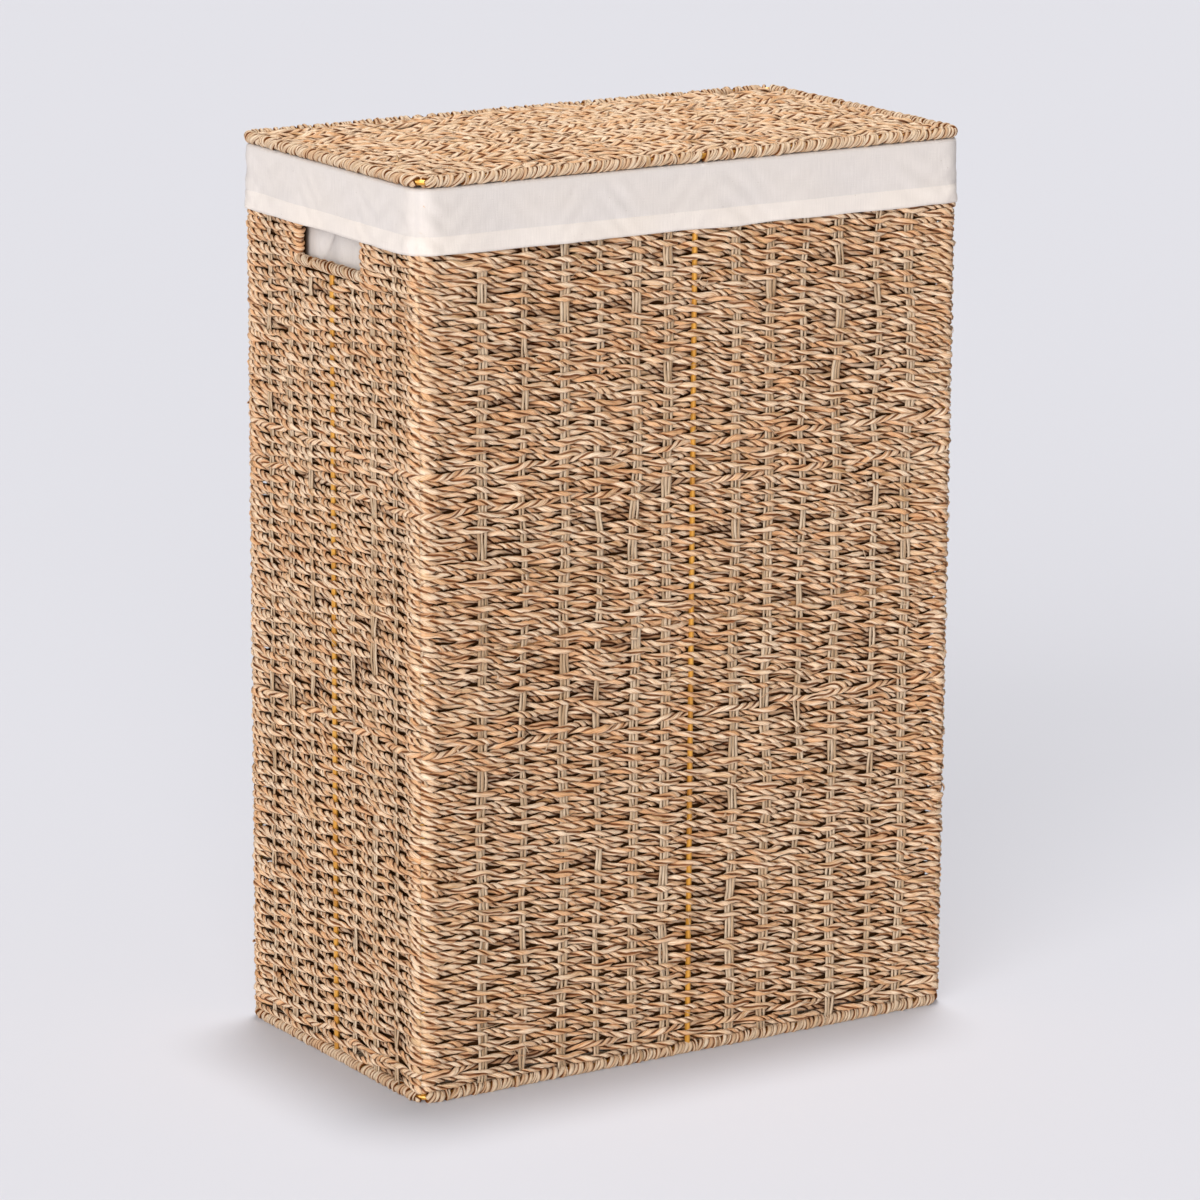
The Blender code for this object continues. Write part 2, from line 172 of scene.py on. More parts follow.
class Outline:
    """A rounded rectangle, measured counterclockwise from the middle of its front left bend."""

    def __init__(self, half_x, half_y, bend):
        self.half = np.array([half_x, half_y, half_x, half_y]) - bend
        self.away = np.array([half_y, half_x, half_y, half_x]) - bend
        self.bend, self.arc = bend, np.pi / 4 * bend
        self.lengths = 2 * self.half + 2 * self.arc
        self.starts = np.concatenate([[0], np.cumsum(self.lengths)])
        self.length = self.starts[-1]

    def place(self, side, x):
        """How far along the line the point x from the middle of a side is."""
        return self.starts[side] + self.arc + self.half[side] + x

    def at(self, s, out=0.0):
        s = np.mod(s, self.length)
        side = np.clip(np.searchsorted(self.starts, s, "right") - 1, 0, 3)
        half, t = self.half[side], s - self.starts[side] - self.arc
        turn = np.where(t < 0, t, np.maximum(t - 2 * half, 0)) / self.bend
        x = np.clip(t, 0, 2 * half) - half + (self.bend + out) * np.sin(turn)
        y = -self.away[side] - (self.bend + out) * np.cos(turn)
        cos, sin = np.array([1, 0, -1, 0])[side], np.array([0, 1, 0, -1])[side]
        return np.stack([x * cos - y * sin, x * sin + y * cos], -1)


def frames(line):
    """Directions outward (to the right of travel) and up at each point of a line that runs level."""
    along = np.gradient(line, axis=0)
    along[:, 2] = 0
    along /= np.linalg.norm(along, axis=1, keepdims=True)
    out = np.stack([along[:, 1], -along[:, 0], np.zeros(len(along))], -1)
    return out, np.broadcast_to([0.0, 0.0, 1.0], out.shape)


class Cord:
    """How a twisted cord's thickness changes along a line of some length, with its twist."""

    def __init__(self, length):
        self.slow, self.ply, self.loose = Wobble(length, 0.045), Wobble(length, 0.018), Wobble(length, 0.060)
        self.skin = Wobble(length, 0.011)

    def rings(self, line, out, up, s, phase, row, grow=1.0):
        """The rings of the cord's two plies, as (ply, places, points round, 3). phase is its turn along s."""
        turn = np.arange(PLY_SIDES) * 2 * np.pi / PLY_SIDES
        size = (np.clip(1 + 0.08 * self.slow(s, row), 0.82, 1.2) * grow)[:, None]
        made = []
        for ply in range(2):
            angle = (phase + 0.8 * self.loose(s, row) + np.pi * ply)[:, None]
            arm = DEPTH * np.cos(angle) * out + np.sin(angle) * up
            side = DEPTH * np.sin(angle) * out - np.cos(angle) * up
            scale = size * np.clip(1 + 0.11 * self.ply(s, 2 * row + ply), 0.75, 1.25)[:, None]
            skin = [1 + CREASE * self.skin(s, 20 * row + 9 * ply + k) for k in range(PLY_SIDES)]
            scale = scale * np.clip(np.stack(skin, -1), 0.7, 1.3)
            ring = (
                (line + arm * CORD_IN * size)[:, None]
                + arm[:, None] * (CORD_THICK * scale * np.cos(turn))[..., None]
                + side[:, None] * (CORD_WIDE * scale * np.sin(turn))[..., None]
            )
            made.append(ring)
        return made


def swing(s, places, signs):
    """How far in or out of the wall a row is, from -1 to 1, as it passes the stakes."""
    i = np.clip(np.searchsorted(places, s, "right") - 1, 0, len(places) - 2)
    t = np.clip((s - places[i]) / (places[i + 1] - places[i]), 0, 1)
    t = t * t * (3 - 2 * t)
    return signs[i] * (1 - t) + signs[i + 1] * t


# ---------------------------------------------------------------- materials


class Look:
    """A material in the making. Each method adds a node and gives back its output."""

    def __init__(self, name, **values):
        self.material = bpy.data.materials.new(name)
        self.material.use_nodes = True
        self.nodes, self.links = self.material.node_tree.nodes, self.material.node_tree.links
        self.shader = self.nodes["Principled BSDF"]
        for socket, value in values.items():
            self.feed(self.shader.inputs[socket.replace("_", " ")], value)

    def feed(self, socket, value):
        if isinstance(value, bpy.types.NodeSocket):
            self.links.new(value, socket)
        else:
            socket.default_value = value

    def node(self, kind, inputs, output=0, **settings):
        made = self.nodes.new("ShaderNode" + kind)
        for key, value in settings.items():
            setattr(made, key, value)
        for key, value in inputs.items():
            self.feed(made.inputs[key], value)
        return made.outputs[output]

    def read(self, name, output="Vector"):
        return self.node("Attribute", {}, output, attribute_name=name)

    def sum(self, operation, *values):
        return self.node("Math", dict(enumerate(values)), operation=operation)

    def vector(self, operation, *values):
        return self.node("VectorMath", dict(enumerate(values)), operation=operation)

    def noise(self, vector, scale=1.0, detail=2.0, roughness=0.5):
        inputs = {"Vector": vector, "Scale": scale, "Detail": detail, "Roughness": roughness}
        return self.node("TexNoise", inputs, "Fac")

    def span(self, value, low, high, to_low=0.0, to_high=1.0):
        """Maps low..high to to_low..to_high, and holds it there."""
        return self.node("MapRange", {0: value, 1: low, 2: high, 3: to_low, 4: to_high})

    def ramp(self, value, *stops):
        made = self.nodes.new("ShaderNodeValToRGB")
        self.feed(made.inputs[0], value)
        while len(made.color_ramp.elements) < len(stops):
            made.color_ramp.elements.new(1.0)
        for element, (place, colour) in zip(made.color_ramp.elements, stops):
            element.position, element.color = place, (*colour, 1)
        return made.outputs[0]

    def mix(self, share, a, b, blend="MIX"):
        made = self.nodes.new("ShaderNodeMix")
        made.data_type, made.blend_type = "RGBA", blend
        for socket, value in ((0, share), (6, a), (7, b)):
            if isinstance(value, tuple):
                value = (*value, 1)
            self.feed(made.inputs[socket], value)
        return made.outputs[2]

    def bump(self, height, distance, strength=1.0):
        return self.node("Bump", {"Strength": strength, "Distance": distance, "Height": height})

    def finish(self, **values):
        for socket, value in values.items():
            self.feed(self.shader.inputs[socket.replace("_", " ")], value)
        return self.material


def straw(name, light, middle, warm, dark, chunk=0.05, streak=0.009, fine=4.5, inner=0.0, shut=(0.05, -0.55)):
    """Dried grass. Its colour changes along each strand every chunk or so, and dark streaks run along its
    fibres. inner is how much painted shade darkens its inner side, which faces the other strand of its cord
    or
    the wire: shut is where that shade starts and where it is full, as the cosine of the turn from its outer
    side. Painted shade also darkens it the deeper it lies in its wall or panel."""
    look = Look(name, Specular_IOR_Level=0.07)
    grain, seed = look.read("grain"), look.read("seed", "Fac")
    shift = look.vector("MULTIPLY", look.node("CombineXYZ", {0: seed, 1: seed, 2: seed}), (7.31, 3.17, 5.43))

    def along(length, across):
        return look.vector("ADD", look.vector("MULTIPLY", grain, (1 / length, across, across)), shift)

    tone = look.noise(along(chunk, 0.30), 1.0, 2.5, 0.6)
    hue = look.noise(along(chunk * 1.7, 0.22), 1.3, 1.5)
    fibre = look.noise(along(streak, fine), 1.0, 3.0, 0.62)
    hair = look.noise(along(streak * 0.5, fine * 2.4), 1.0, 1.0)
    plain = look.ramp(tone, (0.26, dark), (0.37, middle), (0.53, light))
    reddened = look.mix(look.span(hue, 0.49, 0.62, 0.0, 0.8), plain, warm)
    streaked = look.mix(look.span(fibre, 0.38, 0.54, 0.72, 0.0), reddened, dark, "MULTIPLY")
    pale = look.mix(look.span(hair, 0.56, 0.72, 0.0, 0.42), streaked, light)
    facing = look.node("SeparateXYZ", {0: grain}, "Y")
    # Painted shade on each ply's inner side, which faces the other ply or the wire
    pale = look.mix(look.span(facing, *shut, 0.0, inner), pale, CREASE_SHADE, "MULTIPLY")
    # Painted shade, darker the deeper a point lies in its wall or panel
    pale = look.mix(look.span(look.read("depth", "Fac"), 0.0006, -0.0022, 0.0, 0.95), pale, DEEP_SHADE, "MULTIPLY")
    relief = look.sum("ADD", fibre, look.sum("MULTIPLY", hair, 0.4))
    return look.finish(
        Base_Color=pale,
        Roughness=look.span(fibre, 0.3, 0.7, 0.68, 0.47),
        Normal=look.bump(relief, 0.00050, 0.9),
    )


def cotton(name, colour, shade_behind=0.0):
    """Plain cloth with a vertical slub, a few specks and a fine weave. It reads each point's place on the
    cloth. Its last argument is how much painted shade darkens it where it lies close behind the walls."""
    look = Look(name, Roughness=0.9, Specular_IOR_Level=0.25, Sheen_Weight=0.12, Sheen_Roughness=0.5)
    if shade_behind:
        look.finish(Specular_IOR_Level=0.0, Sheen_Weight=0.0)
    place = look.read("cloth")
    slub = look.noise(look.vector("MULTIPLY", place, (1 / 0.0011, 1 / 0.016, 0)), 1.0, 3.0, 0.6)
    weft_slub = look.noise(look.vector("MULTIPLY", place, (1 / 0.019, 1 / 0.0011, 0)), 1.0, 2.0, 0.6)
    stain = look.noise(look.vector("MULTIPLY", place, (14, 14, 0)), 1.0, 2.0)
    speck = look.noise(look.vector("MULTIPLY", place, (620, 420, 0)), 1.0, 1.0)
    threads = []
    for axis in ((1, 0, 0), (0, 1, 0)):
        run = look.vector("MULTIPLY", place, tuple(v * 2 * math.pi / 0.00072 for v in axis))
        run = look.node("VectorMath", {0: run, 1: axis}, "Value", operation="DOT_PRODUCT")
        threads.append(look.sum("SINE", run))
    grid = look.sum("MULTIPLY", threads[0], threads[1])
    deep, high = tuple(v * 0.955 for v in colour), tuple(min(1.0, v * 1.02) for v in colour)
    shade = look.mix(look.span(slub, 0.34, 0.66), deep, high)
    shade = look.mix(look.span(weft_slub, 0.40, 0.30, 0.0, 0.5), shade, deep)
    yellowed = (colour[0], colour[1] * 0.965, colour[2] * 0.90)
    shade = look.mix(look.span(stain, 0.4, 0.7, 0.0, 0.35), shade, yellowed)
    shade = look.mix(look.span(speck, 0.775, 0.80, 0.0, 0.55), shade, (0.30, 0.22, 0.15))
    # Painted shade where the bag lies close behind the weave
    if shade_behind:
        behind = look.node("SeparateXYZ", {0: place}, "Z")
        shade = look.mix(look.sum("MULTIPLY", behind, shade_behind), shade, BEHIND_WEAVE_SHADE, "MULTIPLY")
    relief = look.sum("ADD", look.sum("MULTIPLY", grid, 0.10), look.sum("ADD", slub, weft_slub))
    return look.finish(Base_Color=shade, Normal=look.bump(relief, 0.00018, 0.6))


def lacquer(name):
    """Golden ochre lacquer on steel wire, a little rubbed."""
    look = Look(name, Metallic=0.45, Specular_IOR_Level=0.5, Coat_Weight=0.3, Coat_Roughness=0.2)
    place = look.node("TexCoord", {}, "Object")
    cloud, grit = look.noise(place, 38.0, 3.0), look.noise(place, 900.0, 2.0)
    colour = look.ramp(
        cloud, (0.3, (0.46, 0.19, 0.022)), (0.5, (0.68, 0.32, 0.040)), (0.7, (0.79, 0.41, 0.070))
    )
    colour = look.mix(look.span(grit, 0.62, 0.75, 0.0, 0.5), colour, (0.34, 0.17, 0.04))
    return look.finish(
        Base_Color=colour, Roughness=look.span(cloud, 0.3, 0.7, 0.44, 0.28),
        Normal=look.bump(grit, 0.00008, 0.5),
    )


CREASE_SHADE = (0.26, 0.110, 0.035)  # painted shade in the crease between two strands
DEEP_SHADE = (0.13, 0.045, 0.010)  # painted shade deep in the weave
BEHIND_WEAVE_SHADE = (0.15, 0.070, 0.026)  # painted shade on the bag's back, close behind the weave
CORD = straw(
    "seagrass_cord", (1.0, 0.785, 0.572), (0.91, 0.625, 0.378), (0.86, 0.475, 0.230), (0.52, 0.300, 0.128),
    inner=0.90,
)
STAKE = straw(
    "seagrass_stake", (0.94, 0.765, 0.560), (0.80, 0.605, 0.400), (0.68, 0.465, 0.275), (0.38, 0.235, 0.120),
    0.12, 0.02, inner=0.9, shut=(0.4, -0.4),
)
BOUND = straw(
    "seagrass_binding", (1.0, 0.815, 0.605), (0.91, 0.685, 0.455), (0.82, 0.530, 0.310), (0.55, 0.360, 0.190),
    0.030, inner=1.0, shut=(0.86, 0.36),
)
BAND = straw(
    "seagrass_band", (0.84, 0.540, 0.280), (0.68, 0.385, 0.170), (0.62, 0.300, 0.120), (0.40, 0.210, 0.085),
    0.06,
)
COTTON = cotton("cream_cotton", (0.705, 0.645, 0.608))
# The bag's back, with painted shade where it lies close behind the weave
SHADED_BACK = cotton("cotton_back_shaded", (0.675, 0.621, 0.590), 1.0)
HEMMED = cotton("hem_cotton", (0.795, 0.716, 0.655))
WIRE = lacquer("golden_lacquer")

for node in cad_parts.values():
    if node.name.endswith("wire") or "_wire_" in node.name or "post" in node.name:
        node.data.materials.clear()
        node.data.materials.append(WIRE)


# ---------------------------------------------------------------- walls

wall = Outline(RING_X, RING_Y, BEND)
uprights, is_post, is_bend = [], [], []
for side in range(4):
    places = [x if side < 2 else -x for x in (FRONT_STAKES if side % 2 == 0 else SIDE_STAKES)]
    stops = [wall.place(side, x) for x in places]
    if side % 2 == 0:
        # On the long sides every other cord dips in just past the bend.
        stops += [wall.starts[side] + BESIDE_BEND, wall.starts[side + 1] - BESIDE_BEND]
    uprights += [wall.starts[side], *stops]
    is_post += [True, *(x == 0 for x in places), *(True for _ in stops[len(places):])]
    is_bend += [True, *(False for _ in stops)]
order = np.argsort(uprights)
uprights, is_post, is_bend = (np.array(a)[order] for a in (uprights, is_post, is_bend))


def to_bend(s):
    """How far each point along the wall is from the nearest bend."""
    half = wall.length / 2
    return np.abs(np.mod(s[:, None] - wall.starts[:-1] + half, wall.length) - half).min(1)


is_dip = is_post & ~is_bend & (to_bend(uprights) < 1.5 * BESIDE_BEND)

rise = Wobble(wall.length, 0.070, drift=0.15)
jitter = Wobble(wall.length, 0.032)
wall_cord = Cord(wall.length)
bands = {"front": 5, "right": 3, "back": 5, "left": 3}
steps = [round(length / STEP) for length in wall.lengths]


def row_heights():
    """Rows lie a little closer together towards the top."""
    heights, z = [], WALL_LOW + 0.0021
    while z < WALL_HIGH - 0.0018:
        heights.append(z)
        z += 0.00486 - 0.00044 * z / WALL_HIGH
    return np.array(heights)


ROWS = row_heights()
weft = {(side, band): Pile() for side in SIDES for band in range(bands[side])}


stops, turns = [0.0], [0.0]
for side, length in enumerate(wall.lengths):
    for run, more in ((BEND_REACH, BEND_TWIST), (length - 2 * BEND_REACH, 0), (BEND_REACH, BEND_TWIST)):
        stops.append(stops[-1] + run)
        turns.append(turns[-1] + run / TWIST[side] + more)
stops, turns = np.array(stops), np.array(turns)


def twist(s):
    """How many turns a cord's plies have made by s."""
    laps = np.floor(s / wall.length)
    return np.interp(s - laps * wall.length, stops, turns) + laps * turns[-1]


def add_row(row, s, out, z, closed):
    """One cord of the walls, shared out between the sides that it runs along. Cords are thicker at the bends
    and towards the top. An open one's s may run on below 0."""
    line = np.concatenate([wall.at(s, out), z[:, None]], 1)
    outward, up = frames(line)
    run = s if closed else np.concatenate([[0], np.cumsum(np.linalg.norm(np.diff(line, axis=0), axis=1))])
    hand = 1 if rng.random() < 0.02 else -1
    share = round(turns[-1] * rng.uniform(0.9, 1.1)) / turns[-1]
    phase = hand * 2 * np.pi * twist(s) * share + rng.uniform(0, 2 * np.pi)
    grow = 1 + 0.25 * np.exp(-((to_bend(s) / 0.008) ** 2)) - 0.07 * (1 - z / WALL_HIGH)
    for ply, rings in enumerate(wall_cord.rings(line, outward, up, s, phase, row, grow)):
        depth = out[:, None] + ((rings - line[:, None]) * outward[:, None]).sum(-1)
        for side, name in enumerate(SIDES):
            band = min(int(row * bands[name] / len(ROWS)), bands[name] - 1)
            for shift in (0,) if closed else (0, wall.length):
                first, last = wall.starts[side] - shift, wall.starts[side + 1] - shift
                inside = np.flatnonzero((s > first - 1e-9) & (s < last + 1e-9))
                if len(inside) > 1:
                    weft[name, band].tube(rings[inside], run[inside], row * 2.74 + ply, depth=depth[inside])


lap = np.concatenate([np.linspace(wall.starts[i], wall.starts[i + 1], steps[i] + 1)[:-1] for i in range(4)])
laps = np.concatenate([lap - wall.length, lap, [wall.length, wall.length + STEP]])
legs = [wall.place(1, -LEG_Y), wall.place(1, LEG_Y), wall.place(3, -LEG_Y), wall.place(3, LEG_Y)]
by_hole = np.zeros(len(uprights), bool)
for side in (1, 3):
    by_hole |= np.abs(uprights - wall.place(side, 0)) < LEG_Y + 0.012

for row, height in enumerate(ROWS):
    signs = np.where((np.arange(len(uprights)) + row) % 2, 1.0, -1.0)
    signs[(rng.random(len(signs)) < 0.07) & ~is_post] *= -1
    signs[is_bend] = np.where(signs[is_bend] > 0, 1.0, 0.7)
    signs[is_dip] = np.where(signs[is_dip] > 0, 0.9, rng.uniform(-0.9, 0.4, is_dip.sum()))
    places = np.concatenate([uprights - wall.length, uprights, [wall.length, wall.length + uprights[1]]])
    signs = np.concatenate([signs, signs, signs[:2]])
    free = ~np.concatenate([by_hole, by_hole, by_hole[:2]])
    edge = min(1.0, (height - WALL_LOW) / 0.012, (WALL_HIGH - height) / 0.012)
    reach = SWING * (0.55 if height > CUFF_LOW + 0.001 else 1.0)  # the cuff holds them in

    def level(s):
        return height + (0.00052 * rise(s, row) + 0.00022 * jitter(s, row)) * edge

    if height < BAR_Z - 0.0066:
        s = laps[(laps > -1.5 * STEP) & (laps < wall.length + 1.5 * STEP)]
        add_row(row, s, reach * swing(s, places, signs), level(s), closed=True)
        continue
    for start, end in ((legs[1], legs[2]), (legs[3] - wall.length, legs[0])):
        kept = free & (places > start) & (places < end)
        passed = np.concatenate([[start], places[kept], [end]])
        hands = np.concatenate([[1], signs[kept], [1]])
        s = np.concatenate([[start], laps[(laps > start + 0.001) & (laps < end - 0.001)], [end]])
        out = reach * swing(s, passed, hands)
        # At each end it goes round the hole's leg, and back a little way on the inside.
        turn, tail = np.linspace(np.pi, 0, 9)[:-1], np.linspace(0.008, 0, 4)[:-1]
        round_leg, inside = 0.0030 * np.sin(turn), tail * 0 - reach
        s = np.concatenate([start + tail, start - round_leg, s, end + round_leg[::-1], end - tail[::-1]])
        across = reach * np.cos(turn)
        out = np.concatenate([inside, across, out, across[::-1], inside])
        add_row(row, s, out, level(s), closed=False)


# ---------------------------------------------------------------- strands and windings


def strand(pile, line, face, wide, thick, seed, along=None, sides=6, closed=False):
    """A flat strand along a line. face is the direction in which its thickness lies at each point."""
    if closed:
        travel = np.roll(line, -1, 0) - np.roll(line, 1, 0)
    else:
        travel = np.gradient(line, axis=0)
    travel /= np.linalg.norm(travel, axis=1, keepdims=True)
    face = face - (face * travel).sum(1, keepdims=True) * travel
    face /= np.linalg.norm(face, axis=1, keepdims=True)
    across = np.cross(travel, face)
    turn = np.arange(sides) * 2 * np.pi / sides
    wide, thick = np.broadcast_to(wide, len(line)), np.broadcast_to(thick, len(line))
    rings = (
        line[:, None]
        + face[:, None] * (thick[:, None] * np.cos(turn))[..., None]
        + across[:, None] * (wide[:, None] * np.sin(turn))[..., None]
    )
    if along is None:
        along = np.concatenate([[0], np.cumsum(np.linalg.norm(np.diff(line, axis=0), axis=1))])
    pile.tube(rings, along, seed, closed)


def wind(pile, middle, length, radius, wide, thick, seed, lean=0.0011, around=14, start=0.0, bare=()):
    """A strand wound tightly round a level line. middle(s) gives points on the line and the directions
    outward. bare lists the stretches of the line that the strand leaves open."""
    widths, lifts, slants = Wobble(length, 0.012), Wobble(length, 0.006), Wobble(length, 0.015)
    turns = int(length / (2 * wide) * 1.1) + 2
    angle = np.arange(turns * around) * 2 * np.pi / around
    rough = start + angle * wide / np.pi
    pitch = 2 * wide * np.clip(1 + 0.38 * widths(rough), 0.5, 1.8) * 0.97
    s = start + np.concatenate([[0], np.cumsum(pitch[:-1])]) / around
    keep = s < start + length
    s, angle, pitch = s[keep], angle[keep], pitch[keep]
    leaned = np.clip(s + lean * (1 + 0.8 * slants(s)) * np.sin(angle), start, start + length)
    point, out = middle(leaned)
    up = np.array([0.0, 0.0, 1.0])
    arm = out * np.cos(angle)[:, None] + up * np.sin(angle)[:, None]
    line = point + arm * (radius - thick) * (1 + 0.11 * lifts(s))[:, None]
    along = angle * radius
    shut = np.zeros(len(s), bool)
    for first, last in bare:
        shut |= (leaned > first) & (leaned < last)
    open_runs = np.split(np.arange(len(s)), np.flatnonzero(np.diff(shut.astype(int))) + 1)
    for run in open_runs:
        if shut[run[0]] or len(run) < 4:
            continue
        strand(pile, line[run], arm[run], pitch[run] / 2 * 1.04, thick, seed, along[run], sides=8)


def ring_line(outline, z):
    def middle(s):
        point = outline.at(s)
        out = outline.at(s, 0.001) - point
        out = np.concatenate([out, np.zeros((len(out), 1))], 1)
        point = np.concatenate([point, np.full((len(point), 1), z)], 1)
        return point, out / np.linalg.norm(out, axis=1)[:, None]

    return middle


def side_piles():
    return {side: Pile() for side in SIDES}


def wind_ring(outline, z, radius, wide, thick, lean=0.0011, bare=(), skips=()):
    """Winds each side of a ring from bend to bend, and gives one pile for each side."""
    piles, middle = side_piles(), ring_line(outline, z)
    for side, name in enumerate(SIDES):
        cuts = [outline.starts[side]]
        for first, last in skips:
            if outline.starts[side] < first < outline.starts[side + 1]:
                cuts += [first, last]
        cuts.append(outline.starts[side + 1])
        for k in range(0, len(cuts), 2):
            wind(
                piles[name], middle, cuts[k + 1] - cuts[k], radius, wide, thick,
                100 * side + k, lean, start=cuts[k], bare=bare,
            )
    return piles


lid = Outline(LID_X, LID_Y, BEND)
middle_ring = Outline(MID_X, MID_Y, BEND - (RING_X - MID_X))
spot = 0.0021  # half of a bare spot, where the wire shows between the strands


def spots(outline, *places):
    once = [(p - spot, p + spot) for p in places]
    return once + [(first + outline.length, last + outline.length) for first, last in once]


def loop_gaps(outline):
    """The stretches of a ring's rear side that its winding leaves to the hinge loops."""
    middles = (-LOOP_X, LOOP_X)
    return [(outline.place(2, x - WINDING_GAP), outline.place(2, x + WINDING_GAP)) for x in middles]


def beside(gaps):
    return [(first - STRAND_END, last + STRAND_END) for first, last in gaps]


base_winding = wind_ring(wall, BASE_Z, 0.0044, 0.00150, 0.00125, bare=spots(wall, 0.0, wall.starts[1]))
mid_winding = wind_ring(middle_ring, MID_Z, 0.0035, 0.0024, 0.0006, lean=0.0034)
top_gaps, lid_gaps = loop_gaps(wall), loop_gaps(lid)
top_winding = wind_ring(wall, TOP_Z, 0.0034, 0.00128, 0.0009, bare=beside(top_gaps), skips=top_gaps)
lid_bare = spots(lid, 0.0, lid.place(0, 0.004), lid.starts[1], lid.starts[2]) + beside(lid_gaps)
lid_winding = wind_ring(lid, LID_Z, 0.0040, 0.00138, 0.00120, lean=0.0018, bare=lid_bare, skips=lid_gaps)

handle_winding = {}
for hand, x in (("left", -RING_X), ("right", RING_X)):
    pile = handle_winding[hand] = Pile()
    sign = math.copysign(1, x)

    def bar(s, x=x, sign=sign):
        point = np.stack([np.full(len(s), x + sign * 0.0004), s, np.full(len(s), BAR_Z)], -1)
        return point, np.broadcast_to([sign, 0.0, 0.0], point.shape) * 1.0

    wind(pile, bar, 0.095, 0.0040, 0.00135, 0.0011, 7, lean=0.0024, around=16, start=-0.0475)

# Flat stakes of a few strands, which the rows pass on alternate sides
stakes = side_piles()
for side, name in enumerate(SIDES):
    for x in FRONT_STAKES if side % 2 == 0 else SIDE_STAKES:
        if x == 0:
            continue
        x = x if side < 2 else -x
        high = BAR_Z - 0.006 if side % 2 and abs(x) < LEG_Y + 0.012 else WALL_HIGH
        z = np.arange(WALL_LOW - 0.002, high, 0.0055)
        count = 3 if rng.random() < 0.5 else 2
        lean = Wobble(0.7, 0.16)
        for k in range(count):
            stray, depth = Wobble(0.7, 0.045), Wobble(0.7, 0.03)
            at = wall.place(side, x) + (k - (count - 1) / 2) * 0.0026 + 0.00025 * stray(z) + 0.0009 * lean(z)
            out = 0.0010 + 0.00035 * depth(z)
            line = np.concatenate([wall.at(at, out), z[:, None]], 1)
            face = np.concatenate([wall.at(at, out + 0.001), z[:, None]], 1) - line
            wide = 0.00128 * (1 + 0.14 * stray(z, 3))
            strand(stakes[name], line, face, wide, 0.0007, 11 * side + 3.1 * k + 40 * x)


# ---------------------------------------------------------------- lid and base

LID_ROW, BASE_ROW = 0.00462, 0.0048


def panel(half_x, half_y, pitch, reach, height, share, flip=False):
    """Rows along X over stakes along Y. height(x, y) is the panel's middle. Gives the rows' piles and the
    stakes'."""
    rows, sticks = [Pile() for _ in range(share)], Pile()
    count = int(2 * half_y / pitch) + 1
    places = np.concatenate([[-half_x - 0.01], FRONT_STAKES, [half_x + 0.01]])
    wander, wiggle, cord = Wobble(0.9, 0.07, 0.25), Wobble(0.9, 0.03), Cord(0.9)
    x = np.linspace(-half_x, half_x, round(2 * half_x / STEP))
    for row in range(count):
        y = (row - (count - 1) / 2) * 2 * half_y / (count - 1)
        edge = min(1.0, (half_y - abs(y)) / 0.012)
        signs = np.where((np.arange(len(places)) + row) % 2, 1.0, -1.0)
        signs[rng.random(len(signs)) < 0.06] *= -1
        if not flip:
            signs[places == 0] = 1.0 if row % 2 else 0.6  # every row passes over the lid's cross wire
        at_y = y + (0.0007 * wander(x, row) + 0.0003 * wiggle(x, row)) * edge
        fall = np.minimum(1, (half_x - np.abs(x)) / 0.004)
        z = height(x, at_y) + reach * swing(x, places, signs) * fall
        line = np.stack([x, at_y, z], -1)
        up = np.broadcast_to([0.0, 1.0, 0.0], line.shape)
        out = np.broadcast_to([0.0, 0.0, 1.0], line.shape)
        hand = 1 if rng.random() < 0.25 else -1
        phase = hand * 2 * np.pi * x / (LID_TWIST * rng.uniform(0.85, 1.1)) + rng.uniform(0, 2 * np.pi)
        for ply, rings in enumerate(cord.rings(line, out, up, x, phase, row)):
            # A panel is seen from both sides, so its painted shade is darkest in its middle
            depth = abs(rings[..., 2] - height(x, at_y)[:, None]) - 0.0012
            rows[row * share // count].tube(rings, x, 300 + row * 2.74 + ply, depth=depth)
    for x in FRONT_STAKES:
        if x == 0:
            continue
        y = np.arange(-half_y, half_y, 0.006)
        for k in range(3):
            stray = Wobble(0.4, 0.04)
            aside, rise = (k - 1) * 0.0017 + 0.0002 * stray(y), 0.0003 * stray(y, 4)
            line = np.stack([x + aside, y, height(x, y) + rise], -1)
            face = np.broadcast_to([0.0, 0.0, 1.0], line.shape)
            strand(sticks, line, face, 0.00085, 0.00055, 500 + 30 * x + k)
    return rows, sticks


def lid_height(x, y):
    rise = np.maximum(0, 1 - (x / (LID_X - 0.004)) ** 2) * np.maximum(0, 1 - (y / (LID_Y - 0.004)) ** 2)
    return LID_Z - 0.0008 + CROWN * rise


def base_height(x, y):
    return 0.0042 + 0 * x * y


lid_rows, lid_sticks = panel(LID_X - 0.0030, LID_Y - 0.0052, LID_ROW, 0.0018, lid_height, 2)
base_rows, base_sticks = panel(RING_X - 0.0030, RING_Y - 0.0056, BASE_ROW, 0.0015, base_height, 2, flip=True)

# Two loops of strand hold the lid's rear wire to the rim's
loops = {}
low = np.array([0, RING_Y, TOP_Z])
high = np.array([0, LID_Y, LID_Z])
tilt = math.atan2(high[2] - low[2], high[1] - low[1])
for hand, x in (("left", -LOOP_X), ("right", LOOP_X)):
    pile = loops[hand] = Pile()
    turn = np.linspace(0, np.pi, 9)
    for k in range(4):
        radius = 0.0031
        ends = []
        for centre, first in ((high, -np.pi / 2), (low, np.pi / 2)):
            angle = tilt + first + turn
            arm = np.stack([0 * angle, np.cos(angle), np.sin(angle)], -1)
            ends.append((centre + arm * radius, arm))
        line = np.concatenate([ends[0][0], ends[1][0]]) + [x + (k - 1.5) * 0.0021, 0, 0]
        face = np.concatenate([ends[0][1], ends[1][1]])
        strand(pile, line, face, 0.00115, 0.0007, 70 + k, sides=8, closed=True)


# ---------------------------------------------------------------- loose ends

frays = Pile()
lid_frays = Pile()


